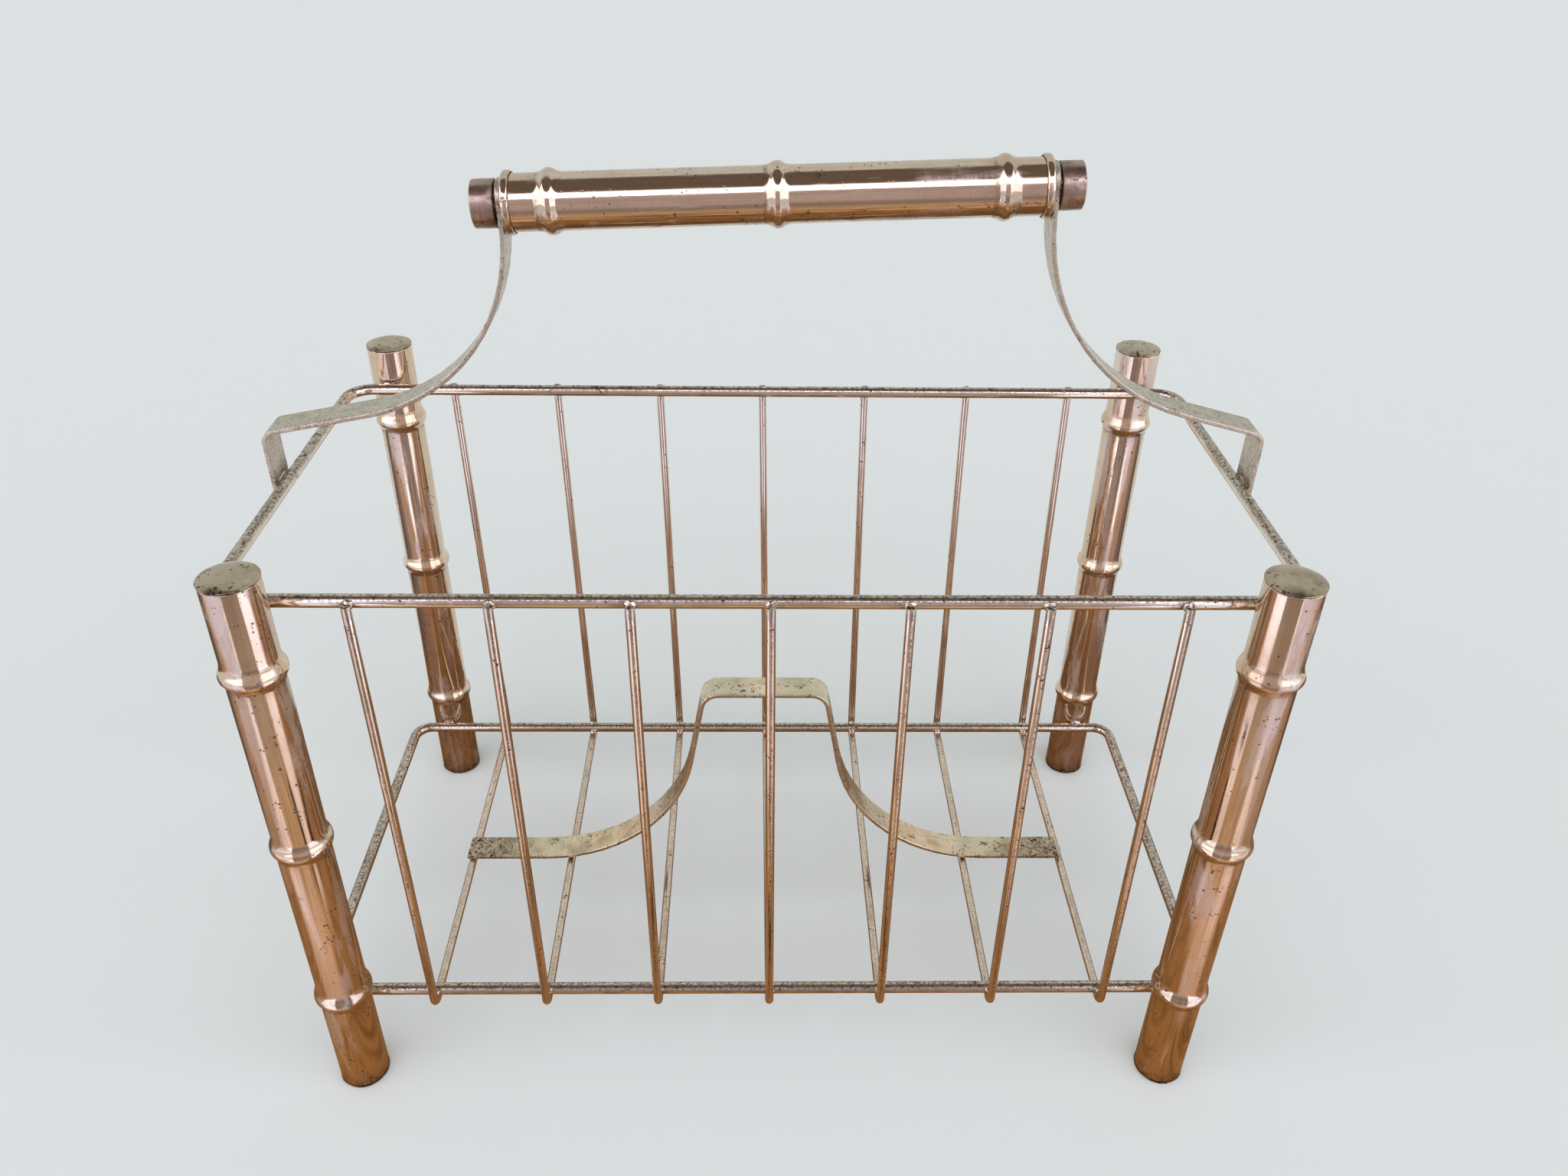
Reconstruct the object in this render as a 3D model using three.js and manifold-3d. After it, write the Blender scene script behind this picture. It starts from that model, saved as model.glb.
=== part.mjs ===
// Magazine rack in polished brass: four faux-bamboo legs, two frames of round wire, seven U-shaped basket
// wires, a flat strap bent into a divider, and a faux-bamboo grip held between two swept straps.
// Millimetres, +Z up. X runs along the rack, Y from front to back. The origin is on the floor, under the middle.
import * as THREE from "three";
import Module from "manifold-3d";
import { mergeVertices } from "three/addons/utils/BufferGeometryUtils.js";

const wasm = await Module();
wasm.setup();

// Stock that the pieces are cut from
const tubeDiameter = 21.8;
const tubeWall = 0.9;
const frameWireDiameter = 5.4;
const basketWireDiameter = 3.9;
const strapWidth = 16;
const strapThickness = 1.9;
const rodDiameter = 6;
const seatGap = 0.3;
const cutOverrun = 2;

// Legs: centre distances, height to the top of the cap, and the swollen bamboo joints
const legSpacingX = 379;
const legSpacingY = 218.6;
const legHeight = 278.3;
const legNodeShares = [0.208, 0.538, 0.851];
const nodeSwell = 1.7;
const legNodeRise = 7;
const legNodeFall = 5;
const capRim = 1.5;
const capRound = 1;
const capLip = 0.2;
const capPlugDepth = 6;
const capWall = 0.8;
const footRim = 0.9;
const footRound = 0.5;

// Frames of round wire: the legs stand outside the long sides, and the short sides clear the legs
const topFrameDrop = 20.1;
const lowerFrameHeight = 39.7;
const frameEndClearance = 4.1;
const topFrameBend = 11;
const lowerFrameBend = 9;
const frameSeamOffset = 2.6;

// Basket wires: count, distance of the outermost from the legs, rise above the top frame's centre, bend radius,
// and how far the hand-made row drifts along X at each corner
const basketWireCount = 7;
const basketWireInset = 33.5;
const basketWireTopLap = 0.8;
const basketBend = 4;
const frontTopDrift = 1.7;
const frontBaseDrift = 2.4;
const backBaseDrift = 1;
const backTopDrift = -1.6;

// Divider: a narrower strap laid along the base wires and bent up into an arch, a little nearer the front
const dividerWidth = 14.4;
const dividerHeight = 110;
const dividerTopWidth = 58.6;
const dividerRiserDegrees = 80;
const dividerSweepRadius = 80;
const dividerCornerRadius = 8.5;
const dividerEndLap = 0.8;
const dividerOffsetY = -2.8;

// Grip: bamboo tube with end collars, on a rod through both straps. It sits a little off centre and slopes.
const gripRise = 123.8;
const gripOffsetX = 4;
const gripSlopeDegrees = 2.25;
const gripSpan = 209.4;
const gripNodeShares = [0.08, 0.5, 0.92];
const gripNodeRise = 5.5;
const gripNodeFall = 5.5;
const collarLength = 3.3;
const collarWall = 0.9;
const collarRound = 1;
const knobDiameter = 18.4;
const knobLength = 8.8;
const knobNeckDiameter = 13.6;
const knobNeckLength = 0.6;
const knobRound = 0.5;
const knobBoreDepth = 7;

// Handle straps, one for each end: the shoulder's rise over the frame, the height of the sweep's corner below
// the rod as a share of the height from shoulder to rod, and the straight stretch between the sweep and the rod
const shoulderBend = 4.8;
const strapLap = 4.5;
const strapEndReach = 9.5;
const leftStrap = { side: -1, shoulderRise: 24.9, sweepDropShare: 0.77, straightBelowRod: 4.3 };
const rightStrap = { side: 1, shoulderRise: 26.3, sweepDropShare: 0.745, straightBelowRod: 10.5 };

// How finely round shapes are cut
const tubeSides = 20;
const frameWireSides = 10;
const basketWireSides = 8;
const bendSteps = 5;
const sweepSteps = 12;
const nodeSteps = 3;

// Places that follow from the sizes above
const tubeRadius = tubeDiameter / 2;
const tubeBore = tubeRadius - tubeWall;
const capRadius = tubeRadius + capLip;
const frameWireRadius = frameWireDiameter / 2;
const basketWireRadius = basketWireDiameter / 2;
const rodRadius = rodDiameter / 2;
const rodBore = rodRadius + seatGap;
const legX = legSpacingX / 2;
const legY = legSpacingY / 2;
const longWireY = legY - tubeRadius - seatGap - frameWireRadius;
const shortWireX = legX + tubeRadius + frameEndClearance + frameWireRadius;
const topFrameHeight = legHeight - topFrameDrop;
const basketSeat = frameWireRadius + seatGap + basketWireRadius;
const basketSideY = longWireY + basketSeat;
const basketBaseHeight = lowerFrameHeight - basketSeat;
const gripSlope = THREE.MathUtils.degToRad(gripSlopeDegrees);
const gripAlong = new THREE.Vector3(Math.cos(gripSlope), 0, Math.sin(gripSlope));
const gripUp = new THREE.Vector3(-Math.sin(gripSlope), 0, Math.cos(gripSlope));
const gripCentre = new THREE.Vector3(gripOffsetX, 0, topFrameHeight + gripRise);

// Finishes, from the photograph: pale champagne brass, browner on the knobs
const finishes = {
  tube: { color: 0xd9c49a, roughness: 0.12, metalness: 1 },
  cap: { color: 0xcdbf92, roughness: 0.3, metalness: 1 },
  wire: { color: 0xd2c096, roughness: 0.2, metalness: 1 },
  strap: { color: 0xc9b794, roughness: 0.35, metalness: 1 },
  knob: { color: 0x7c5a48, roughness: 0.4, metalness: 1 },
};

const rack = new THREE.Group();

// Makes one named piece, and returns its mesh so that the caller can place it
function place(name, finish, geometry, parent = rack) {
  const mesh = new THREE.Mesh(geometry, new THREE.MeshStandardMaterial(finishes[finish]));
  mesh.name = name;
  parent.add(mesh);
  return mesh;
}

// A solid turned about Z from outline points [radius, height], given round the outline anticlockwise
function turned(points, sides = tubeSides) {
  const outline = points.map(([radius, height]) => new THREE.Vector2(radius, height));
  return new THREE.LatheGeometry(outline, sides).rotateX(Math.PI / 2);
}

// Points of a quarter round between two outline points, which leaves the first along its radius or its height
function quarterRound([r0, z0], [r1, z1], startsAlongRadius) {
  const points = [];
  for (let step = 0; step <= 2; step++) {
    const turn = (Math.PI / 2) * (step / 2);
    const early = Math.sin(turn);
    const late = 1 - Math.cos(turn);
    const alongRadius = startsAlongRadius ? early : late;
    const alongHeight = startsAlongRadius ? late : early;
    points.push([r0 + (r1 - r0) * alongRadius, z0 + (z1 - z0) * alongHeight]);
  }
  return points;
}

// The outside of a bamboo tube from height 0 to its length: each joint swells above its peak and falls back on
// a shorter flank below
function bambooOutline(length, nodeHeights, rise, fall) {
  const points = [[tubeRadius, 0]];
  for (const peak of nodeHeights) {
    for (let step = -nodeSteps; step <= nodeSteps; step++) {
      const flank = step < 0 ? fall : rise;
      const swell = (nodeSwell * (1 + Math.cos((Math.PI * step) / nodeSteps))) / 2;
      points.push([tubeRadius + swell, peak + (flank * step) / nodeSteps]);
    }
  }
  points.push([tubeRadius, length]);
  return points;
}

function bambooTube(length, nodeHeights, rise, fall) {
  const outside = bambooOutline(length, nodeHeights, rise, fall);
  return turned([...outside, [tubeBore, length], [tubeBore, 0], outside[0]]);
}

// A pressed lid: a flat face at the top of its rim, a rounded edge, and a thin skirt that plugs the tube
function pressedCap(rim, round) {
  const skirt = tubeBore - seatGap;
  return turned([
    [0, rim - capWall],
    [skirt - capWall, rim - capWall],
    [skirt - capWall, -capPlugDepth],
    [skirt, -capPlugDepth],
    [skirt, 0],
    [capRadius, 0],
    ...quarterRound([capRadius, rim - round], [capRadius - round, rim], false),
    [0, rim],
  ]);
}

// Each leg is a tube with a cap at its top and the same kind of plug, with a thin rim, as its foot
const legTubeLength = legHeight - capRim - footRim - 2 * seatGap;
const legTubeStart = footRim + seatGap;
const legNodeHeights = legNodeShares.map((share) => legHeight * share - legTubeStart);
for (const [endName, y] of [["front", -legY], ["back", legY]]) {
  for (const [sideName, x] of [["left", -legX], ["right", legX]]) {
    const leg = new THREE.Group();
    leg.position.set(x, y, 0);
    rack.add(leg);
    const where = endName + "_" + sideName;
    const tube = bambooTube(legTubeLength, legNodeHeights, legNodeRise, legNodeFall);
    place("leg_" + where, "tube", tube, leg).position.z = legTubeStart;
    place("leg_cap_" + where, "cap", pressedCap(capRim, capRound), leg).position.z = legHeight - capRim;
    const foot = place("foot_cap_" + where, "cap", pressedCap(footRim, footRound), leg);
    foot.rotation.x = Math.PI;
    foot.position.z = footRim;
  }
}

// A bent bar's centreline: straight runs between corner points, with an arc at each corner. Its stations are
// the two ends and the points of each arc, so that straight runs aren't cut up. A bend is kept within its runs.
class BentLine extends THREE.Curve {
  constructor(corners, bends, steps) {
    super();
    const runs = corners.slice(1).map((corner, i) => corner.clone().sub(corners[i]));
    const ways = runs.map((run) => run.clone().normalize());
    const reaches = corners.map((_, i) => {
      const inner = i > 0 && i < runs.length;
      return inner ? bends[i - 1] * Math.tan(ways[i - 1].angleTo(ways[i]) / 2) : 0;
    });
    runs.forEach((run, i) => {
      const excess = (reaches[i] + reaches[i + 1]) / run.length();
      if (excess > 1) {
        reaches[i] /= excess;
        reaches[i + 1] /= excess;
      }
    });
    this.stations = [{ point: corners[0].clone(), way: ways[0] }];
    for (let i = 1; i < runs.length; i++) {
      const turn = ways[i - 1].angleTo(ways[i]);
      const radius = reaches[i] / Math.tan(turn / 2);
      const start = corners[i].clone().addScaledVector(ways[i - 1], -reaches[i]);
      const inward = ways[i].clone().addScaledVector(ways[i - 1], -ways[i].dot(ways[i - 1])).normalize();
      for (let step = 0; step <= steps[i - 1]; step++) {
        const angle = (turn * step) / steps[i - 1];
        const point = start.clone().addScaledVector(ways[i - 1], radius * Math.sin(angle));
        point.addScaledVector(inward, radius * (1 - Math.cos(angle)));
        const way = ways[i - 1].clone().multiplyScalar(Math.cos(angle)).addScaledVector(inward, Math.sin(angle));
        this.stations.push({ point, way });
      }
    }
    this.stations.push({ point: corners.at(-1).clone(), way: ways.at(-1) });
  }

  get steps() {
    return this.stations.length - 1;
  }

  getPointAt(share) {
    return this.stations[Math.round(share * this.steps)].point.clone();
  }

  getTangentAt(share) {
    return this.stations[Math.round(share * this.steps)].way.clone();
  }
}

function evenBends(corners, bend) {
  const inner = corners.length - 2;
  return new BentLine(corners, Array(inner).fill(bend), Array(inner).fill(bendSteps));
}

function bentWire(line, radius, sides) {
  const section = new THREE.Shape();
  for (let side = 0; side < sides; side++) {
    const angle = (2 * Math.PI * side) / sides;
    const point = [radius * Math.cos(angle), radius * Math.sin(angle)];
    if (side === 0) section.moveTo(...point);
    else section.lineTo(...point);
  }
  return new THREE.ExtrudeGeometry(section, { steps: line.steps, extrudePath: line });
}

// A frame is one wire bent round four corners. Its two ends butt together on the left short side.
function wireFrame(height, bend) {
  const at = (x, y) => new THREE.Vector3(x, y, height);
  const corners = [
    at(-shortWireX, frameSeamOffset - seatGap / 2),
    at(-shortWireX, -longWireY),
    at(shortWireX, -longWireY),
    at(shortWireX, longWireY),
    at(-shortWireX, longWireY),
    at(-shortWireX, frameSeamOffset + seatGap / 2),
  ];
  return bentWire(evenBends(corners, bend), frameWireRadius, frameWireSides);
}

place("top_frame", "wire", wireFrame(topFrameHeight, topFrameBend));
place("lower_frame", "wire", wireFrame(lowerFrameHeight, lowerFrameBend));

// Each basket wire goes down outside the front of both frames, under the lower one, and up outside the back
const basketPitch = (legSpacingX - 2 * basketWireInset) / (basketWireCount - 1);
const basketTop = topFrameHeight + basketWireTopLap;
for (let number = 1; number <= basketWireCount; number++) {
  const x = (number - (basketWireCount + 1) / 2) * basketPitch;
  const corners = [
    new THREE.Vector3(x + frontTopDrift, -basketSideY, basketTop),
    new THREE.Vector3(x + frontBaseDrift, -basketSideY, basketBaseHeight),
    new THREE.Vector3(x + backBaseDrift, basketSideY, basketBaseHeight),
    new THREE.Vector3(x + backTopDrift, basketSideY, basketTop),
  ];
  const wire = bentWire(evenBends(corners, basketBend), basketWireRadius, basketWireSides);
  place("basket_wire_" + number, "wire", wire);
}

// A flat strap whose centreline lies in the XZ plane, with its width along Y, centred on the given Y
function bentStrap(line, width, y = 0) {
  const side = (sign) =>
    line.stations.map(({ point, way }) => {
      const out = (sign * strapThickness) / 2;
      return new THREE.Vector2(point.x - way.z * out, point.z + way.x * out);
    });
  const outline = new THREE.Shape([...side(-1), ...side(1).reverse()]);
  const strap = new THREE.ExtrudeGeometry(outline, { depth: width, bevelEnabled: false });
  return strap.rotateX(Math.PI / 2).translate(0, y + width / 2, 0);
}

// The divider rests on the base wires and ends on the outermost pair
const dividerFoot = basketBaseHeight + basketWireRadius + seatGap + strapThickness / 2;
const dividerTop = dividerFoot + dividerHeight - strapThickness;
const dividerReach = legX - basketWireInset + dividerEndLap;
const dividerRiserFoot =
  dividerTopWidth / 2 + (dividerTop - dividerFoot) / Math.tan(THREE.MathUtils.degToRad(dividerRiserDegrees));
const dividerHalf = [
  [dividerReach, dividerFoot],
  [dividerRiserFoot, dividerFoot],
  [dividerTopWidth / 2, dividerTop],
];
const dividerLine = new BentLine(
  [
    ...dividerHalf.map(([x, z]) => new THREE.Vector3(-x, 0, z)),
    ...dividerHalf.reverse().map(([x, z]) => new THREE.Vector3(x, 0, z)),
  ],
  [dividerSweepRadius, dividerCornerRadius, dividerCornerRadius, dividerSweepRadius],
  [sweepSteps, bendSteps, bendSteps, sweepSteps],
);
place("divider_strap", "strap", bentStrap(dividerLine, dividerWidth, dividerOffsetY));

// Cuts and joins work on solids. A closed mesh becomes one once its shared vertices are merged.
function solid(geometry) {
  const bare = geometry.clone().deleteAttribute("normal").deleteAttribute("uv");
  const merged = mergeVertices(bare);
  return new wasm.Manifold(
    new wasm.Mesh({
      numProp: 3,
      vertProperties: new Float32Array(merged.getAttribute("position").array),
      triVerts: new Uint32Array(merged.index.array),
    }),
  );
}

function geometryOf(shape) {
  const mesh = shape.getMesh();
  const geometry = new THREE.BufferGeometry();
  geometry.setAttribute("position", new THREE.BufferAttribute(mesh.vertProperties, 3));
  geometry.setIndex(new THREE.BufferAttribute(mesh.triVerts, 1));
  return geometry;
}

// Places a shape made about Z so that its Z runs along the grip, its Y up across it and its origin at `centre`
function alongGrip(geometry, centre) {
  const across = new THREE.Vector3().crossVectors(gripUp, gripAlong);
  const frame = new THREE.Matrix4().makeBasis(across, gripUp, gripAlong).setPosition(centre);
  return geometry.applyMatrix4(frame);
}

// A handle strap: up the outside of the short wire, over a tight shoulder, inwards, and up in a long sweep to
// the grip, where its round end has a hole for the rod
function handleStrap({ side, shoulderRise, sweepDropShare, straightBelowRod }) {
  const outerX = side * (shortWireX + frameWireRadius + seatGap + strapThickness / 2);
  const foot = new THREE.Vector3(outerX, 0, topFrameHeight - strapLap);
  const shoulder = new THREE.Vector3(outerX, 0, topFrameHeight + shoulderRise);
  const eye = gripCentre.clone().addScaledVector(gripAlong, side * (gripSpan + strapThickness) / 2);
  const sweepDrop = sweepDropShare * (eye.z - shoulder.z);
  const sweepCorner = eye.clone().addScaledVector(gripUp, -sweepDrop);
  const tip = eye.clone().addScaledVector(gripUp, strapEndReach + cutOverrun);
  const sweepTurn = sweepCorner.clone().sub(shoulder).angleTo(gripUp);
  const sweepRadius = (sweepDrop - straightBelowRod) / Math.tan(sweepTurn / 2);
  const corners = [foot, shoulder, sweepCorner, tip];
  const line = new BentLine(corners, [shoulderBend, sweepRadius], [bendSteps, sweepSteps]);
  const halfWidth = strapWidth / 2;
  const roundStart = strapEndReach - halfWidth;
  const below = gripRise + shortWireX;
  const endShape = new THREE.Shape();
  endShape.moveTo(-strapWidth, -below);
  endShape.lineTo(strapWidth, -below);
  endShape.lineTo(strapWidth, roundStart);
  endShape.lineTo(halfWidth, roundStart);
  endShape.absarc(0, roundStart, halfWidth, 0, Math.PI);
  endShape.lineTo(-strapWidth, roundStart);
  const reach = 2 * legSpacingX;
  const settings = { depth: reach, bevelEnabled: false, curveSegments: sweepSteps };
  const endTemplate = new THREE.ExtrudeGeometry(endShape, settings);
  const holeLength = strapThickness + 2 * cutOverrun;
  const hole = new THREE.CylinderGeometry(rodBore, rodBore, holeLength, tubeSides);
  const cut = solid(bentStrap(line, strapWidth))
    .intersect(solid(alongGrip(endTemplate.translate(0, 0, -reach / 2), eye)))
    .subtract(solid(alongGrip(hole.rotateX(Math.PI / 2), eye)));
  return geometryOf(cut);
}

place("handle_strap_left", "strap", handleStrap(leftStrap));
place("handle_strap_right", "strap", handleStrap(rightStrap));

// The grip's pieces are turned shapes about the grip's own axis, in a group that slopes with it
const grip = new THREE.Group();
grip.position.copy(gripCentre);
grip.rotation.y = Math.PI / 2 - gripSlope;
rack.add(grip);

const gripLength = gripSpan - 2 * seatGap;
const gripTubeLength = gripLength - 2 * (collarWall + seatGap);
const gripNodeHeights = gripNodeShares.map((share) => gripTubeLength * share);
const gripTube = bambooTube(gripTubeLength, gripNodeHeights, gripNodeRise, gripNodeFall);
place("grip_tube", "tube", gripTube, grip).position.z = -gripTubeLength / 2;

// A collar is a shallow cup over the tube's end, with a hole for the rod
const collarRadius = tubeRadius + seatGap + collarWall;
const collarOutline = [
  [rodBore, 0],
  ...quarterRound([collarRadius - collarRound, 0], [collarRadius, collarRound], true),
  [collarRadius, collarLength],
  [tubeRadius + seatGap, collarLength],
  [tubeRadius + seatGap, collarWall],
  [rodBore, collarWall],
  [rodBore, 0],
];

// A knob is a plain cylinder with a short neck against the strap and a blind hole for the rod
const knobRadius = knobDiameter / 2;
const knobTotal = knobNeckLength + knobLength;
const knobOutline = [
  [0, knobBoreDepth],
  [rodBore, knobBoreDepth],
  [rodBore, 0],
  [knobNeckDiameter / 2, 0],
  [knobNeckDiameter / 2, knobNeckLength],
  [knobRadius, knobNeckLength],
  ...quarterRound([knobRadius, knobTotal - knobRound], [knobRadius - knobRound, knobTotal], false),
  [0, knobTotal],
];
const knobSeat = gripSpan / 2 + strapThickness + seatGap;
for (const [sideName, side] of [["left", -1], ["right", 1]]) {
  const collar = place("grip_collar_" + sideName, "tube", turned(collarOutline), grip);
  collar.position.z = (side * gripLength) / 2;
  collar.rotation.x = side > 0 ? Math.PI : 0;
  const knob = place("end_knob_" + sideName, "knob", turned(knobOutline), grip);
  knob.position.z = side * knobSeat;
  knob.rotation.x = side > 0 ? 0 : Math.PI;
}

// The rod runs through the straps, the collars and the tube, and ends inside the knobs
const rodLength = 2 * (knobSeat + knobBoreDepth - seatGap);
const rod = new THREE.CylinderGeometry(rodRadius, rodRadius, rodLength, tubeSides).rotateX(Math.PI / 2);
place("grip_rod", "knob", rod, grip);

export default rack;
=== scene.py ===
# %% [markdown]
# # A brass magazine rack
# The real rack is bent and brazed from four kinds of stock: a thin tube that is pressed into bamboo
# joints, a thick round wire, a thin round wire and a flat strap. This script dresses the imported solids:
# each piece is modelled again with its small forms, gets an aged brass finish, and is lit on a plain pale
# floor.
#
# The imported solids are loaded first, because they fix every size and place. The new pieces are modelled
# in millimetres and scaled once at the end, so that the numbers read like those on a workshop drawing.

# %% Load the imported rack
import math

import bmesh
import bpy
from mathutils import Matrix, Vector, noise


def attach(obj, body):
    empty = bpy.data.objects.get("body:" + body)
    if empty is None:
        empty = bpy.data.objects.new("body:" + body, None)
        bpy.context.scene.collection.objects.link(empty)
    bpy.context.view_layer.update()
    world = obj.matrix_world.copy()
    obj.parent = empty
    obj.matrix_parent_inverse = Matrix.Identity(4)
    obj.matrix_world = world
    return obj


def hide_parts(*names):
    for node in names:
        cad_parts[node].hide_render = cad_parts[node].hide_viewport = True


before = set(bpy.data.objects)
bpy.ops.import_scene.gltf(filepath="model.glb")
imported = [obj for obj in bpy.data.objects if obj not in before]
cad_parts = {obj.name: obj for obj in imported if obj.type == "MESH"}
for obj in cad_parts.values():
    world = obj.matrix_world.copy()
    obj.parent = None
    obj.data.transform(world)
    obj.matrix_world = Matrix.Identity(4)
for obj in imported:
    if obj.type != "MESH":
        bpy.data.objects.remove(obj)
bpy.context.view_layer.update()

mm = 0.001
up = Vector((0, 0, 1))
print("solids loaded:", len(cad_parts))

# %% [markdown]
# ## Stock and places
# These are the sizes of the stock and the places of the pieces. They are the same named values that the
# solids were made from, so each new piece lies where its solid is.

# %% Stock
tube_radius = 10.9
tube_bore = 10.0
frame_wire_radius = 2.7
basket_wire_radius = 1.95
strap_width = 16
strap_thickness = 1.9
rod_radius = 3
seat_gap = 0.3

# %% Places
leg_x, leg_y, leg_height = 189.5, 109.3, 278.3
corners_of_rack = {
    "front_left": (-leg_x, -leg_y),
    "front_right": (leg_x, -leg_y),
    "back_left": (-leg_x, leg_y),
    "back_right": (leg_x, leg_y),
}
cap_radius, cap_rim, foot_rim = 11.1, 1.5, 0.9
long_wire_y, short_wire_x = 95.4, 207.2
top_frame_height, lower_frame_height = 258.2, 39.7
basket_side_y, basket_base_height, basket_pitch = 100.35, 34.75, 52
basket_top = top_frame_height + 0.8
grip_centre = Vector((4, 0, 382))
grip_slope = math.radians(2.25)
grip_along = Vector((math.cos(grip_slope), 0, math.sin(grip_slope)))
grip_up = Vector((-math.sin(grip_slope), 0, math.cos(grip_slope)))
grip_span = 209.4

# %% [markdown]
# ## Finishing a piece
# Every piece ends the same way: its doubles are merged, its faces turned outwards, edges sharper than a
# bevel's are marked sharp, and the mesh is scaled to metres. Then it rides on its body and stands for its
# solid.

# %% A helper that makes an object of a mesh
def put_in_scene(bm, name, material):
    mesh = bpy.data.meshes.new(name)
    bm.to_mesh(mesh)
    bm.free()
    mesh.materials.append(material)
    thing = bpy.data.objects.new(name, mesh)
    bpy.context.scene.collection.objects.link(thing)
    return thing


# %% A helper that finishes a piece
sharp_angle = math.radians(38)


def finish_piece(bm, name, finish, replaced=(), body="rack"):
    bmesh.ops.remove_doubles(bm, verts=bm.verts, dist=1e-4)
    bmesh.ops.recalc_face_normals(bm, faces=bm.faces)
    for face in bm.faces:
        face.smooth = True
    for edge in bm.edges:
        edge.smooth = edge.calc_face_angle(0) < sharp_angle
    bmesh.ops.scale(bm, vec=(mm, mm, mm), verts=bm.verts)
    piece = put_in_scene(bm, name, finish)
    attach(piece, body)
    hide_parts(*replaced)
    return piece


# %% [markdown]
# ## Old brass, one effect at a time
# Polished brass that has been handled for decades isn't one colour. Lacquer and fingers leave soft
# clouds, pits and specks gather in some places, and the drawing die leaves faint lines along the stock.
# Hands rub the shine off in long streaks, and a few thin scratches wander over all of it. Each effect is
# a node group that puts out a mask, so that every finish can use it at its own scale and strength.

# %% Helpers for shader nodes
def add(tree, kind, **settings):
    node = tree.nodes.new("ShaderNode" + kind)
    for setting, value in settings.items():
        setattr(node, setting, value)
    return node


def feed(tree, socket, source):
    """Links another socket to this one, or sets a colour or a number on it."""
    if isinstance(source, bpy.types.NodeSocket):
        tree.links.new(source, socket)
    elif socket.type == "RGBA":
        socket.default_value = (*source, 1)
    else:
        socket.default_value = source


def calculate(tree, operation, first, second, clamp=False):
    node = add(tree, "Math", operation=operation, use_clamp=clamp)
    feed(tree, node.inputs[0], first)
    feed(tree, node.inputs[1], second)
    return node.outputs[0]


def blend_colours(tree, share, first, second):
    """A Mix node has its two colours in sockets 6 and 7, and their blend in output 2."""
    node = add(tree, "Mix", data_type="RGBA")
    feed(tree, node.inputs[0], share)
    feed(tree, node.inputs[6], first)
    feed(tree, node.inputs[7], second)
    return node.outputs[2]


def tint(tree, colour, mask, amount, target):
    """The colour goes towards the target where the mask is, by the amount."""
    return blend_colours(tree, calculate(tree, "MULTIPLY", mask, amount), colour, target)


def soft_step(tree, value, low, high):
    """0 at low and 1 at high, with a soft start and end. Where low is above high, it steps down."""
    node = add(tree, "MapRange", interpolation_type="SMOOTHSTEP")
    feed(tree, node.inputs["Value"], value)
    feed(tree, node.inputs["From Min"], low)
    feed(tree, node.inputs["From Max"], high)
    return node.outputs["Result"]


def noise_at(tree, place, scale, detail=2, roughness=0.5):
    node = add(tree, "TexNoise")
    feed(tree, node.inputs["Vector"], place)
    feed(tree, node.inputs["Scale"], scale)
    node.inputs["Detail"].default_value = detail
    node.inputs["Roughness"].default_value = roughness
    return node


def object_place(tree, turned_by=None):
    """The place on the object, turned by three angles where a pattern doesn't run along Z."""
    place = add(tree, "TexCoord").outputs["Object"]
    if turned_by is None:
        return place
    turn = add(tree, "Mapping")
    feed(tree, turn.inputs["Vector"], place)
    turn.inputs["Rotation"].default_value = turned_by
    return turn.outputs[0]


# %% A helper that starts a node group
def start_group(name, inputs, output):
    group = bpy.data.node_groups.new(name, "ShaderNodeTree")
    group.interface.new_socket(name="Place", in_out="INPUT", socket_type="NodeSocketVector")
    for label, value in inputs.items():
        socket = group.interface.new_socket(name=label, in_out="INPUT", socket_type="NodeSocketFloat")
        socket.default_value = value
    group.interface.new_socket(name=output, in_out="OUTPUT", socket_type="NodeSocketFloat")
    return group, group.nodes.new("NodeGroupInput").outputs, group.nodes.new("NodeGroupOutput").inputs


# %% Tarnish clouds: wide soft patches
clouds, given, result = start_group("tarnish_clouds", {"Scale": 40, "Cover": 0.5}, "Clouds")
wide = noise_at(clouds, given["Place"], given["Scale"], detail=5, roughness=0.62)
low = calculate(clouds, "SUBTRACT", given["Cover"], 0.13)
high = calculate(clouds, "ADD", given["Cover"], 0.17)
feed(clouds, result["Clouds"], soft_step(clouds, wide.outputs[0], low, high))

# %% Specks: small dark pits and dots that gather in some places
specks, given, result = start_group("brass_specks", {"Scale": 500, "Share": 0.3}, "Specks")
crumble = noise_at(specks, given["Place"], calculate(specks, "MULTIPLY", given["Scale"], 3))
shift = add(specks, "VectorMath", operation="SCALE")
feed(specks, shift.inputs[0], crumble.outputs["Color"])
shift.inputs["Scale"].default_value = 0.7 * mm
nudged = add(specks, "VectorMath", operation="ADD")
feed(specks, nudged.inputs[0], given["Place"])
feed(specks, nudged.inputs[1], shift.outputs[0])
dots = add(specks, "TexVoronoi")
feed(specks, dots.inputs["Vector"], nudged.outputs[0])
feed(specks, dots.inputs["Scale"], given["Scale"])
draw = add(specks, "SeparateColor")
feed(specks, draw.inputs[0], dots.outputs["Color"])
gather = noise_at(specks, given["Place"], calculate(specks, "MULTIPLY", given["Scale"], 0.13))
chance = calculate(specks, "MULTIPLY", given["Share"], soft_step(specks, gather.outputs[0], 0.35, 0.7))
luck = calculate(specks, "SUBTRACT", calculate(specks, "ADD", draw.outputs[0], chance), 1)
size = calculate(specks, "MULTIPLY", luck, 2.2)
inside = calculate(specks, "SUBTRACT", size, dots.outputs["Distance"])
feed(specks, result["Specks"], soft_step(specks, inside, -0.05, 0.1))

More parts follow.
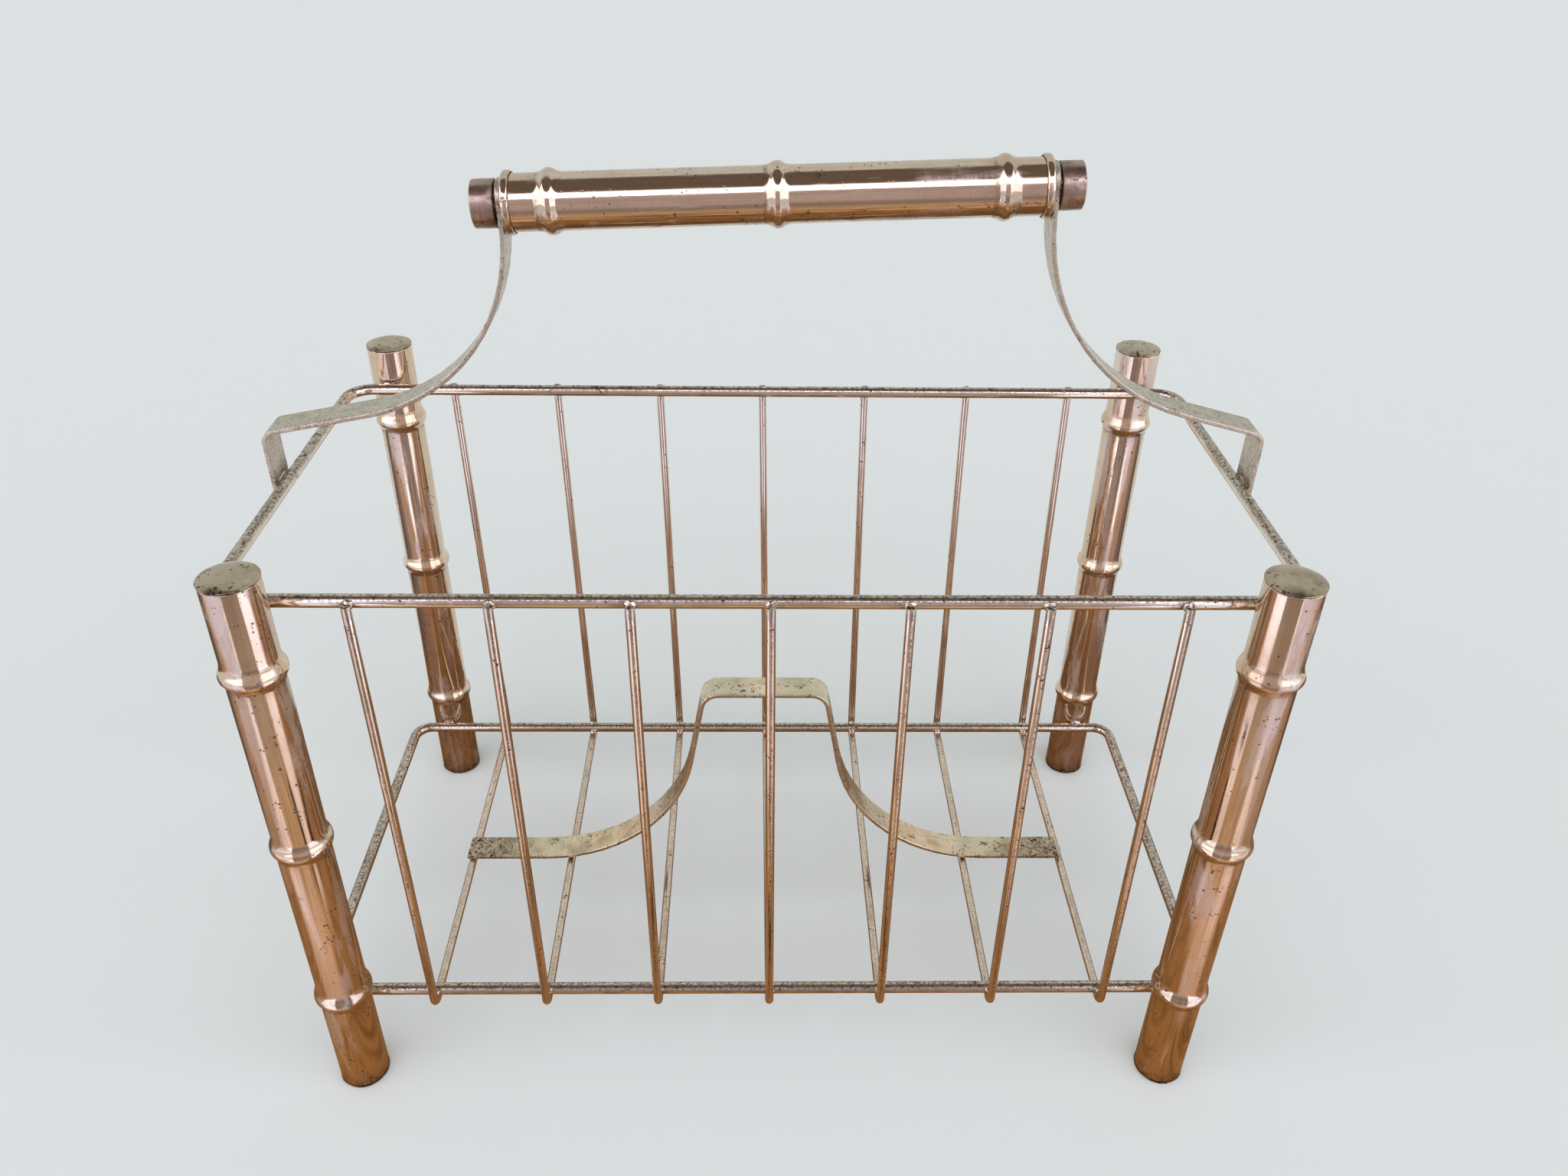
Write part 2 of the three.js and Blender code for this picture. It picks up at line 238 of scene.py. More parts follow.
# %% Two effects that are drawn out along the stock
def along_stock(tree, given):
    """The place with Z squeezed by the group's Stretch, so that a pattern is long along Z."""
    squeeze = add(tree, "CombineXYZ")
    squeeze.inputs["X"].default_value = 1
    squeeze.inputs["Y"].default_value = 1
    feed(tree, squeeze.inputs["Z"], given["Stretch"])
    squeezed = add(tree, "VectorMath", operation="MULTIPLY")
    feed(tree, squeezed.inputs[0], given["Place"])
    feed(tree, squeezed.inputs[1], squeeze.outputs[0])
    return squeezed.outputs[0]


# %% Drawn lines: faint marks that the die left
lines, given, result = start_group("drawn_lines", {"Scale": 300, "Stretch": 0.02}, "Lines")
streak = noise_at(lines, along_stock(lines, given), given["Scale"], detail=4, roughness=0.7)
feed(lines, result["Lines"], soft_step(lines, streak.outputs[0], 0.42, 0.66))

# %% Worn streaks: long patches where the shine is rubbed off
wear, given, result = start_group("worn_streaks", {"Scale": 90, "Stretch": 0.2, "Cover": 0.6}, "Worn")
patch = noise_at(wear, along_stock(wear, given), given["Scale"], detail=4, roughness=0.6)
low = calculate(wear, "SUBTRACT", given["Cover"], 0.05)
high = calculate(wear, "ADD", given["Cover"], 0.07)
feed(wear, result["Worn"], soft_step(wear, patch.outputs[0], low, high))

# %% Scratches: thin wandering lines, each only for a part of its way
scratches, given, result = start_group("scratches", {"Scale": 45, "Width": 0.006}, "Scratches")
field = noise_at(scratches, given["Place"], given["Scale"], detail=1.5)
off_line = calculate(scratches, "ABSOLUTE", calculate(scratches, "SUBTRACT", field.outputs[0], 0.5), 0)
near_line = soft_step(scratches, off_line, given["Width"], 0)
part = noise_at(scratches, given["Place"], calculate(scratches, "MULTIPLY", given["Scale"], 2.7))
scratched = calculate(scratches, "MULTIPLY", near_line, soft_step(scratches, part.outputs[0], 0.5, 0.6))
feed(scratches, result["Scratches"], scratched)

# %% [markdown]
# ## Eight finishes
# The finishes share one recipe with their own numbers. Colour goes from clean brass to tarnished brass by
# the clouds, is paler where the shine is rubbed off, and darkens by scratches, specks, grime and painted
# shade. Grime and painted shade come from a vertex attribute, because they sit where pieces meet, under
# each bamboo joint and as painted dark reflections on a few pieces, which a pattern in space can't know.
# A low, wide bump makes the reflections waver as they do on hand-polished stock.

# %% One recipe for aged brass
def place_in_group(tree, group, place, **values):
    node = add(tree, "Group", node_tree=group)
    feed(tree, node.inputs["Place"], place)
    for label, value in values.items():
        node.inputs[label].default_value = value
    return node.outputs[0]


def total(tree, start, *terms):
    """A start value, and some masks that are each added times their own amount."""
    for mask, amount in terms:
        start = calculate(tree, "ADD", start, calculate(tree, "MULTIPLY", mask, amount))
    return start


def aged_brass(name, clean, tarnished, grime_shade_colour, polish, along=None, **amounts):
    """A finish. clean and tarnished are colours, and so is the third, for grime and painted shade. polish
    is the cleanest place's roughness, along turns the patterns to run along the piece, and amounts change
    some of the numbers below."""
    how = {"cloud_scale": 28, "cloud_cover": 0.58, "cloud_amount": 0.6, "haze": 0.12,
           "speck_scale": 850, "speck_share": 0.32, "speck_amount": 0.75,
           "line_scale": 900, "line_amount": 0.3, "mark_amount": 0.12, "scratch_amount": 0.25,
           "wear_scale": 120, "wear_cover": 0.56, "wear_stretch": 0.16, "wear_rough": 0.26,
           "worn": (0.90, 0.78, 0.73), "worn_amount": 0.7, "rag_scale": 400,
           "wave_scale": 60, "wave_height": 0.03, **amounts}
    finish = bpy.data.materials.new(name)
    finish.use_nodes = True
    tree = finish.node_tree
    shader = tree.nodes["Principled BSDF"]
    shader.inputs["Metallic"].default_value = 1
    place = object_place(tree, along)
    cloud = place_in_group(tree, clouds, place, Scale=how["cloud_scale"], Cover=how["cloud_cover"])
    speck = place_in_group(tree, specks, place, Scale=how["speck_scale"], Share=how["speck_share"])
    line = place_in_group(tree, lines, place, Scale=how["line_scale"], Stretch=0.015)
    mark = place_in_group(tree, lines, place, Scale=60, Stretch=26)
    rubbed = place_in_group(tree, wear, place, Scale=how["wear_scale"], Stretch=how["wear_stretch"],
                            Cover=how["wear_cover"])
    scratch = place_in_group(tree, scratches, place, Scale=45, Width=0.006)
    rag = place_in_group(tree, clouds, place, Scale=how["rag_scale"], Cover=0.5)
    grime_and_shade = add(tree, "Attribute", attribute_name="grime_and_shade").outputs["Fac"]
    grime_shade_mask = calculate(tree, "MULTIPLY", grime_and_shade, total(tree, 0.3, (rag, 1.1)), clamp=True)

    colour = tint(tree, clean, cloud, how["cloud_amount"], tarnished)
    streaked = total(tree, 0, (line, how["line_amount"]), (mark, how["mark_amount"]))
    colour = blend_colours(tree, streaked, colour, tarnished)
    colour = tint(tree, colour, rubbed, how["worn_amount"], how["worn"])
    dirt_and_shade = total(tree, grime_shade_mask, (speck, how["speck_amount"]), (scratch, how["scratch_amount"]))
    colour = blend_colours(tree, calculate(tree, "MINIMUM", dirt_and_shade, 1), colour, grime_shade_colour)
    feed(tree, shader.inputs["Base Color"], colour)

    rough = total(tree, polish, (cloud, how["haze"]), (line, how["haze"] * 0.4),
                  (rubbed, how["wear_rough"]), (mark, how["mark_amount"] * 0.6), (speck, 0.2),
                  (grime_shade_mask, 0.35))
    feed(tree, shader.inputs["Roughness"], rough)

    wave = noise_at(tree, place, how["wave_scale"], detail=1)
    height = total(tree, 0, (wave.outputs[0], how["wave_height"]), (line, how["line_amount"] * 0.006),
                   (mark, how["mark_amount"] * 0.01), (rubbed, 0.004), (speck, -0.02 * how["speck_amount"]))
    bump = add(tree, "Bump")
    bump.inputs["Strength"].default_value = 1
    bump.inputs["Distance"].default_value = mm
    feed(tree, bump.inputs["Height"], height)
    feed(tree, shader.inputs["Normal"], bump.outputs[0])
    return finish


# %% The finishes
# The dark brown of grime, specks, scratches and painted shade.
soil_shade_brown = (0.07, 0.04, 0.022)
tube_brass = aged_brass("tube_brass", (0.80, 0.62, 0.45), (0.62, 0.42, 0.26), soil_shade_brown, 0.045)
grip_brass = aged_brass("grip_brass", (0.76, 0.60, 0.46), (0.50, 0.35, 0.25), soil_shade_brown, 0.045,
                        along=(0, grip_slope - math.pi / 2, 0), wear_cover=0.6, wear_rough=0.2,
                        worn_amount=0.45)
cap_brass = aged_brass("cap_brass", (0.56, 0.46, 0.33), (0.28, 0.21, 0.13), soil_shade_brown, 0.07,
                       cloud_scale=110, cloud_cover=0.52, haze=0.1, speck_scale=800, speck_share=0.55,
                       line_amount=0.05, scratch_amount=0.6, rag_scale=130, wear_stretch=1, worn_amount=0.2)
wire_brass = aged_brass("wire_brass", (0.87, 0.77, 0.65), (0.60, 0.46, 0.34), soil_shade_brown, 0.045,
                        haze=0.08, speck_scale=900, speck_share=0.3, line_amount=0.08, rag_scale=750,
                        wear_scale=260, wear_cover=0.62, worn_amount=0.3, wear_rough=0.1)
basket_brass = aged_brass("basket_brass", (0.86, 0.73, 0.60), (0.55, 0.40, 0.28), soil_shade_brown, 0.06,
                          haze=0.08, speck_scale=1000, speck_share=0.35, line_amount=0.1, rag_scale=750,
                          wear_scale=260, wear_cover=0.58, wear_rough=0.08, worn=(0.90, 0.80, 0.71),
                          worn_amount=0.5)
strap_brass = aged_brass("strap_brass", (0.68, 0.61, 0.50), (0.37, 0.31, 0.23), soil_shade_brown, 0.3,
                         cloud_scale=900, cloud_cover=0.5, cloud_amount=0.55, haze=0.1, speck_scale=1500,
                         speck_share=0.6, speck_amount=0.45, line_amount=0.06, wear_stretch=1,
                         wear_rough=0.1, worn=(0.78, 0.72, 0.63), worn_amount=0.4, wave_scale=30)
divider_brass = aged_brass("divider_brass", (0.76, 0.67, 0.49), (0.40, 0.32, 0.19), soil_shade_brown, 0.2,
                           cloud_scale=90, cloud_cover=0.58, cloud_amount=0.7, haze=0.14, speck_scale=1000,
                           speck_share=0.5, line_amount=0.04, scratch_amount=0.6, rag_scale=600,
                           wear_stretch=1, wear_rough=0.1, worn=(0.88, 0.82, 0.66), worn_amount=0.4,
                           wave_scale=30)
knob_brass = aged_brass("knob_brass", (0.50, 0.37, 0.31), (0.20, 0.13, 0.10), (0.05, 0.03, 0.02), 0.2,
                        cloud_scale=160, cloud_amount=0.8, speck_scale=900, speck_share=0.3, wear_stretch=1,
                        worn=(0.66, 0.52, 0.47), worn_amount=0.5, wear_rough=0.12)
print("finishes:", len(bpy.data.materials))

# %% [markdown]
# ## Turned pieces
# The legs, caps, feet, grip, collars, knobs and rod are all round about a line. Their outline is drawn
# once in a plane and spun a full turn, which is how a spinning lathe or a rolling die shapes the real
# ones.

# %% A helper that spins an outline
leg_sides = 72


def turned(outline, closed=False, sides=leg_sides):
    bm = bmesh.new()
    corners = [bm.verts.new((radius, 0, height)) for radius, height in outline]
    edges = [bm.edges.new(pair) for pair in zip(corners, corners[1:])]
    if closed:
        edges.append(bm.edges.new((corners[-1], corners[0])))
    bmesh.ops.spin(bm, geom=corners + edges, cent=(0, 0, 0), axis=up, angle=2 * math.pi, steps=sides,
                   use_merge=True)
    bmesh.ops.remove_doubles(bm, verts=bm.verts, dist=1e-4)
    return bm


# %% A helper that lays down grime and painted shade
def soil_and_shade(bm, amount_at):
    """Each vertex takes the larger of its grime and painted shade and amount_at its place, from 0 to 1."""
    layer = bm.verts.layers.float.get("grime_and_shade") or bm.verts.layers.float.new("grime_and_shade")
    for vert in bm.verts:
        vert[layer] = max(vert[layer], min(1, amount_at(vert.co)))


def fade(distance, reach):
    """1 at no distance, falling softly to 0 at the reach."""
    share = max(0, 1 - abs(distance) / reach)
    return share * share * (3 - 2 * share)


def soil_shade_round(bm, place, amount, reach):
    soil_and_shade(bm, lambda at: amount * fade((at - place).length, reach))


# %% [markdown]
# ## Bamboo tube
# The joints are what make the tube bamboo. Each swells on a flank above its peak and falls back on a
# shorter one, because the tube is pressed out from inside by a rubber plug. A flank is two arcs that
# touch: a long hollow one at its foot and a tighter round one over the peak, which leaves a crisp lip.

# %% The outline of a bamboo tube
joint_swell = 1.68
peak_share = 0.38
joint_steps = 14
end_round, end_room = 0.55, 0.9
plain_step = 6


def swell_at(distance, flank):
    """How far the wall stands out at a distance from the peak, on a flank of that length."""
    tilt = 2 * math.atan(joint_swell / flank)
    both_radii = flank / math.sin(tilt)
    peak_radius, foot_radius = peak_share * both_radii, (1 - peak_share) * both_radii
    if distance < peak_radius * math.sin(tilt):
        return joint_swell - peak_radius + math.sqrt(peak_radius ** 2 - distance ** 2)
    return foot_radius - math.sqrt(foot_radius ** 2 - (flank - distance) ** 2)


def plain_stretch(start, last):
    """Points on the plain tube after the start, a few millimetres apart."""
    cuts = max(1, round((last - start) / plain_step))
    return [(tube_radius, start + (last - start) * cut / cuts) for cut in range(1, cuts + 1)]


def rounded_end(end, inwards):
    """Points from the tube's wall over its rounded edge to an end."""
    turns = [math.pi / 2 * step / 4 for step in range(5)]
    return [(tube_radius - end_round * (1 - math.cos(t)), end + inwards * end_round * (1 - math.sin(t)))
            for t in turns]


def bamboo_outline(length, peaks, rise, fall):
    """Points from the tube's lower end to its upper end."""
    points = [*reversed(rounded_end(0, 1)), (tube_radius, end_room)]
    for peak in peaks:
        points += plain_stretch(points[-1][1], peak - fall)
        for step in range(1 - joint_steps, joint_steps + 1):
            flank = rise if step > 0 else fall
            height = flank * step / joint_steps
            points.append((tube_radius + swell_at(abs(height), flank), peak + height))
    return points + plain_stretch(points[-1][1], length - end_room) + rounded_end(length, -1)


def bamboo_tube(length, peaks, rise, fall):
    """Grime and painted shade darken the hollow under each joint and the two ends."""
    outside = bamboo_outline(length, peaks, rise, fall)
    bm = turned([*outside, (tube_bore, length), (tube_bore, 0)], closed=True)
    for peak in peaks:
        soil_and_shade(bm, lambda at: 0.4 * fade(at.z - peak + 0.8 * fall, 1.5))
    soil_and_shade(bm, lambda at: 0.7 * max(fade(at.z, 0.8), fade(at.z - length, 0.8)))
    return bm


# %% The four legs
leg_start = foot_rim + seat_gap
leg_length = leg_height - cap_rim - foot_rim - 2 * seat_gap
leg_peaks = [leg_height * share - leg_start for share in (0.208, 0.538, 0.851)]
leg_rise, leg_fall = 7, 5
for corner, (x, y) in corners_of_rack.items():
    bm = bamboo_tube(leg_length, leg_peaks, leg_rise, leg_fall)
    # The leg darkens towards its foot and where the frame wires meet it: grime and painted shade.
    soil_and_shade(bm, lambda at: 0.6 * fade(at.z, 9))
    for height in (top_frame_height, lower_frame_height):
        soil_shade_round(bm, Vector((0, -math.copysign(tube_radius, y), height - leg_start)), 0.8, 7)
    bmesh.ops.translate(bm, vec=(x, y, leg_start), verts=bm.verts)
    finish_piece(bm, "bamboo_leg_" + corner, tube_brass, ["leg_" + corner])
print("legs stand", leg_height, "mm high")

# %% [markdown]
# ## Caps and feet
# A thin pressed lid closes each leg. Its top is very slightly crowned with a rounded rim, and a skirt
# holds it in the tube. The same pressing, with a thinner rim, is the foot.

# %% A pressed lid, and its eight places
skirt = tube_bore - seat_gap
skirt_wall, skirt_depth = 0.8, 6
lid_middle, lid_round, lid_edge = 4, 0.35, 0.12
lid_fall, foot_fall = 1, 0.3
crown_steps = 12


def pressed_lid(rim, fall):
    """A lid whose top is flat in the middle and falls away towards its edge, like a pressed disc."""
    crown = cap_radius - lid_round
    outline = [(0, rim), (2.5, rim)]
    for step in range(1, crown_steps + 1):
        share = step / crown_steps
        outline.append((lid_middle + (crown - lid_middle) * share, rim - fall * share ** 3))
    for step in range(2, 6):
        turn = math.pi / 10 * step
        outline.append((crown + lid_round * math.sin(turn), rim - fall - lid_round * (1 - math.cos(turn))))
    outline += [(cap_radius, lid_edge), (cap_radius - lid_edge, 0), (skirt, 0), (skirt, -skirt_depth),
                (skirt - skirt_wall, -skirt_depth), (skirt - skirt_wall, 0), (0, 0)]
    bm = turned(outline)
    # Grime and painted shade under the rim, where the lid sits on the tube.
    soil_and_shade(bm, lambda at: 0.75 * fade(at.z, 0.3) if at.xy.length > skirt - 0.1 else 0)
    return bm


for corner, (x, y) in corners_of_rack.items():
    bm = pressed_lid(cap_rim, lid_fall)
    # A dark patch at each lid's front rim is a painted reflection.
    soil_shade_round(bm, Vector((-3, -cap_radius, 0.5)), 0.75, 7)
    bmesh.ops.translate(bm, vec=(x, y, leg_height - cap_rim), verts=bm.verts)
    finish_piece(bm, "lid_" + corner, cap_brass, ["leg_cap_" + corner])
    bm = pressed_lid(foot_rim, foot_fall)
    bmesh.ops.rotate(bm, cent=(0, 0, 0), matrix=Matrix.Rotation(math.pi, 3, "X"), verts=bm.verts)
    bmesh.ops.translate(bm, vec=(x, y, foot_rim), verts=bm.verts)
    soil_and_shade(bm, lambda at: 0.5)
    finish_piece(bm, "foot_" + corner, cap_brass, ["foot_cap_" + corner])

# %% [markdown]
# ## A route of straight runs and bends
# Wires and straps follow the same kind of line: straight runs, joined by arcs that touch both of their
# runs. The route works out where each arc starts, its centre and its axis, which is just what a spin
# needs.

# %% Routes
class Route:
    def __init__(self, corners, bends):
        """corners are points, bends the arcs' radii at the inner ones."""
        self.parts, self.lengths, here = [], [], corners[0]
        for before, corner, after, radius in zip(corners, corners[1:], corners[2:], bends):
            way_in, way_out = (corner - before).normalized(), (after - corner).normalized()
            turn = way_in.angle(way_out)
            reach = radius * math.tan(turn / 2)
            start = corner - way_in * reach
            axis = way_in.cross(way_out).normalized()
            self.parts.append(("run", here, start))
            self.parts.append(("bend", start, start + axis.cross(way_in) * radius, axis, turn, radius))
            self.lengths += [(start - here).length, turn * radius]
            here = corner + way_out * reach
        self.parts.append(("run", here, corners[-1]))
        self.lengths.append((corners[-1] - here).length)

    def at(self, distance):
        """The point and the way ahead at a distance along the route."""
        for part, length in zip(self.parts, self.lengths):
            if distance <= length or part is self.parts[-1]:
                break
            distance -= length
        if part[0] == "run":
            _, start, end = part
            way = (end - start).normalized()
            return start + way * distance, way
        _, start, centre, axis, _, radius = part
        turned_start = Matrix.Rotation(distance / radius, 3, axis) @ (start - centre)
        return centre + turned_start, axis.cross(turned_start).normalized()


# %% [markdown]
# ## Bent round wire
# A ring of edges is pushed along the route: extruded in steps on the straight runs and spun round each
# bend's centre. The cut ends get a face and a small bevel, since a sheared wire is deburred before it is
# brazed.

# %% A helper that pushes a ring along a route
def ring_of(verts):
    """The edges between these vertices, each once."""
    held = set(verts)
    return list(dict.fromkeys(e for v in verts for e in v.link_edges if e.other_vert(v) in held))


def bent_wire(route, radius, sides, run_step=8, bend_steps=10):
    bm = bmesh.new()
    start, way = route.at(0)
    facing = way.to_track_quat("Z", "X").to_matrix().to_4x4()
    place = Matrix.Translation(start) @ facing
    verts = bmesh.ops.create_circle(bm, segments=sides, radius=radius, matrix=place)["verts"]
    edges = ring_of(verts)
    ends = [edges]
    for part, length in zip(route.parts, route.lengths):
        if part[0] == "run":
            _, run_start, run_end = part
            cuts = max(1, round(length / run_step))
            for _ in range(cuts):
                made = bmesh.ops.extrude_edge_only(bm, edges=edges)["geom"]
                verts = [item for item in made if isinstance(item, bmesh.types.BMVert)]
                bmesh.ops.translate(bm, vec=(run_end - run_start) / cuts, verts=verts)
                edges = ring_of(verts)
        else:
            _, _, centre, axis, turn, _ = part
            made = bmesh.ops.spin(bm, geom=verts + edges, cent=centre, axis=axis, angle=turn,
                                  steps=bend_steps)["geom_last"]
            verts = [item for item in made if isinstance(item, bmesh.types.BMVert)]
            edges = [item for item in made if isinstance(item, bmesh.types.BMEdge)]
    ends.append(edges)
    for end in ends:
        bmesh.ops.contextual_create(bm, geom=end)
        bmesh.ops.bevel(bm, geom=end, offset=0.3, segments=2, profile=0.5, affect="EDGES", material=-1)
    return bm


# %% The two frames
frame_seam = 2.6
crossings = [(number - 4) * basket_pitch for number in range(1, 8)]
front_drift = {"top": 1.7, "base": 2.4}
back_drift = {"top": -1.6, "base": 1}
sides_of_rack = ((-1, front_drift), (1, back_drift))


def frame_route(height, bend):
    """Round the four corners, from one side of the butt seam on the left to the other."""
    def at(x, y):
        return Vector((x, y, height))
    half = seat_gap / 2
    return Route([at(-short_wire_x, frame_seam - half), at(-short_wire_x, -long_wire_y),
                  at(short_wire_x, -long_wire_y), at(short_wire_x, long_wire_y),
                  at(-short_wire_x, long_wire_y), at(-short_wire_x, frame_seam + half)], [bend] * 4)


frames = (("top", "top", top_frame_height, 11), ("lower", "base", lower_frame_height, 9))
for name, row, height, bend in frames:
    bm = bent_wire(frame_route(height, bend), frame_wire_radius, 28)
    # A dark band along the top of the wire is a painted reflection of the dark top.
    soil_and_shade(bm, lambda at: 0.7 * fade(at.z - height - 0.8 * frame_wire_radius, 1.9))
    # Grime and painted shade where the basket wires and the legs meet the frame.
    for side, drifts in sides_of_rack:
        touch_y = side * (long_wire_y + frame_wire_radius)
        for crossing in crossings:
            soil_shade_round(bm, Vector((crossing + drifts[row], touch_y, height)), 0.85, 4.5)
        for x in (-leg_x, leg_x):
            soil_shade_round(bm, Vector((x, touch_y, height)), 0.85, 6.5)
    finish_piece(bm, name + "_wire_frame", wire_brass, [name + "_frame"])

# %% The seven basket wires
basket_bend = 4
base_top = basket_base_height + basket_wire_radius
for number, crossing in enumerate(crossings, 1):
    route = Route([Vector((crossing + front_drift["top"], -basket_side_y, basket_top)),
                   Vector((crossing + front_drift["base"], -basket_side_y, basket_base_height)),
                   Vector((crossing + back_drift["base"], basket_side_y, basket_base_height)),
                   Vector((crossing + back_drift["top"], basket_side_y, basket_top))], [basket_bend] * 2)
    bm = bent_wire(route, basket_wire_radius, 22)
    # Grime and painted shade where the basket wire meets the frames.
    for side in (-1, 1):
        for height in (top_frame_height, lower_frame_height):
            touch = Vector((crossing + 1, side * (basket_side_y - basket_wire_radius), height))
            soil_shade_round(bm, touch, 0.85, 5)
    # Dark cut ends; painted dark reflections atop the base, more at the back, and in a line down the front
    soil_and_shade(bm, lambda at: 0.9 if at.z > basket_top - 0.05 else 0)
    soil_and_shade(bm, lambda at: 0.24 * fade(at.z - base_top, 1.4))
    soil_and_shade(bm, lambda at: 0.5 * fade(at.z - base_top, 2) * fade(at.y - 92, 40))
    line_x = crossing + front_drift["top"] + 0.3 * basket_wire_radius
    soil_and_shade(bm, lambda at: 0.65 * fade(at.x - line_x, 0.7) if at.y < -basket_side_y and at.z > 45 else 0)
    finish_piece(bm, f"basket_rod_{number}", basket_brass, [f"basket_wire_{number}"])
print("basket wires:", len(crossings))

# %% [markdown]
# ## Straps, cut flat and then bent
# A strap is made as in the workshop: the blank is cut flat with its round end and its hole, its edges are
# eased, and only then is it bent over the route. The blank is cut across at every bend, so that it can
# curve.

# %% A flat blank
def strap_blank(length, width, eye=None):
    """Along +X from 0, width along Y, thickness about Z = 0. eye is (hole's place, hole's radius)."""
    bm = bmesh.new()
    half = width / 2
    if eye:
        first = bm.verts.new((length - half, -half, 0))
        bmesh.ops.spin(bm, geom=[first], cent=(length - half, 0, 0), axis=up, angle=math.pi, steps=32)
        last = max(bm.verts, key=lambda v: v.co.y)
        bmesh.ops.create_circle(bm, segments=48, radius=eye[1], matrix=Matrix.Translation((eye[0], 0, 0)))
    else:
        first, last = bm.verts.new((length, -half, 0)), bm.verts.new((length, half, 0))
        bm.edges.new((first, last))
    feet = [bm.verts.new((0, -half, 0)), bm.verts.new((0, half, 0))]
    for pair in ((first, feet[0]), feet, (feet[1], last)):
        bm.edges.new(pair)
    bmesh.ops.triangle_fill(bm, use_beauty=True, edges=bm.edges[:], normal=up)
    made = bmesh.ops.extrude_face_region(bm, geom=bm.faces[:])["geom"]
    verts = [item for item in made if isinstance(item, bmesh.types.BMVert)]
    bmesh.ops.translate(bm, vec=(0, 0, strap_thickness), verts=verts)
    bmesh.ops.translate(bm, vec=(0, 0, -strap_thickness / 2), verts=bm.verts)
    bmesh.ops.recalc_face_normals(bm, faces=bm.faces)
    rims = [edge for edge in bm.edges if edge.calc_face_angle(0) > math.radians(60)]
    bmesh.ops.bevel(bm, geom=rims, offset=0.38, segments=3, profile=0.5, affect="EDGES", material=-1)
    return bm


# %% Bending a blank over a route
def bend_over(bm, route, y=0, bend_steps=14, run_step=6):
    distance = 0
    for part, length in zip(route.parts, route.lengths):
        cuts = bend_steps if part[0] == "bend" else max(1, round(length / run_step))
        for cut in range(cuts):
            station = distance + length * cut / cuts
            if station > 0.5:
                geom = bm.verts[:] + bm.edges[:] + bm.faces[:]
                bmesh.ops.bisect_plane(bm, geom=geom, dist=1e-4, plane_co=(station, 0, 0),
                                       plane_no=(1, 0, 0))
        distance += length
    for vert in bm.verts:
        point, way = route.at(vert.co.x)
        outward = Vector((-way.z, 0, way.x))
        vert.co = point + outward * vert.co.z + Vector((0, y + vert.co.y, 0))


def ease_shading(piece):
    """Large flat faces keep their own normal beside the small rounded edges."""
    even = piece.modifiers.new("even_shading", "WEIGHTED_NORMAL")
    even.keep_sharp = True


# %% The divider
divider_width, divider_shift, divider_rise = 14.4, -2.8, 110
divider_foot = base_top + seat_gap + strap_thickness / 2
divider_top = divider_foot + divider_rise - strap_thickness
divider_half_top = 58.6 / 2
divider_riser = divider_half_top + (divider_top - divider_foot) / math.tan(math.radians(80))
half_line = [(156.8, divider_foot), (divider_riser, divider_foot), (divider_half_top, divider_top)]
left_half = [Vector((-x, 0, z)) for x, z in half_line]
right_half = [Vector((x, 0, z)) for x, z in reversed(half_line)]
divider_route = Route(left_half + right_half, [80, 8.5, 8.5, 80])
base_drift = 1.5
bm = strap_blank(sum(divider_route.lengths), divider_width)
bend_over(bm, divider_route, y=divider_shift)
# Grime and painted shade where the divider rests on the basket wires.
for crossing in crossings[:2] + crossings[-2:]:
    touch = Vector((crossing + base_drift, base_top))
    soil_and_shade(bm, lambda at: 0.6 * fade((at.xz - touch).length, 4.5))
soil_and_shade(bm, lambda at: 0.7 * fade(abs(at.x) - 157, 45))
divider = finish_piece(bm, "divider", divider_brass, ["divider_strap"])
ease_shading(divider)

# %% The two handle straps
frame_side_x = short_wire_x + frame_wire_radius
strap_x = frame_side_x + seat_gap + strap_thickness / 2
foot_drop, shoulder_bend, eye_reach = 4.5, 4.8, 9.5
hole_radius = rod_radius + seat_gap
handle_shapes = {"left": (-1, 24.9, 0.77, 4.3), "right": (1, 26.3, 0.745, 10.5)}
for side_name, (side, shoulder_rise, drop_share, straight) in handle_shapes.items():
    foot = Vector((side * strap_x, 0, top_frame_height - foot_drop))
    shoulder = Vector((side * strap_x, 0, top_frame_height + shoulder_rise))
    eye = grip_centre + grip_along * side * (grip_span + strap_thickness) / 2
    drop = drop_share * (eye.z - shoulder.z)
    sweep_corner = eye - grip_up * drop
    tip = eye + grip_up * eye_reach
    sweep_turn = (sweep_corner - shoulder).angle(grip_up)
    sweep_bend = (drop - straight) / math.tan(sweep_turn / 2)
    route = Route([foot, shoulder, sweep_corner, tip], [shoulder_bend, sweep_bend])
    length = sum(route.lengths)
    bm = strap_blank(length, strap_width, eye=(length - eye_reach, hole_radius))
    bend_over(bm, route)
    # Grime and painted shade round the eye, where the knob and collar sit, and where the strap meets the
    # frame.
    soil_and_shade(bm, lambda at: 0.7 * fade((at - eye).length - 7, 3) if (at - eye).length < 10 else 0)
    touch = Vector((side * frame_side_x, top_frame_height))
    soil_and_shade(bm, lambda at: 0.5 * fade((at.xz - touch).length, 5))
    strap = finish_piece(bm, "sweep_strap_" + side_name, strap_brass,
                         ["handle_strap_" + side_name])
    ease_shading(strap)
    print("strap", side_name, "is", round(length), "mm long before it is bent")

# %% [markdown]
# ## The grip
# The grip is the same bamboo tube with shorter joints, between two collars and two end knobs, all on one
# rod. Its pieces are turned about Z and then laid along the grip's sloping line. The tube and its collars
# turn on the rod, so they ride on the grip's body, while the rod and the knobs are fixed to the rack.

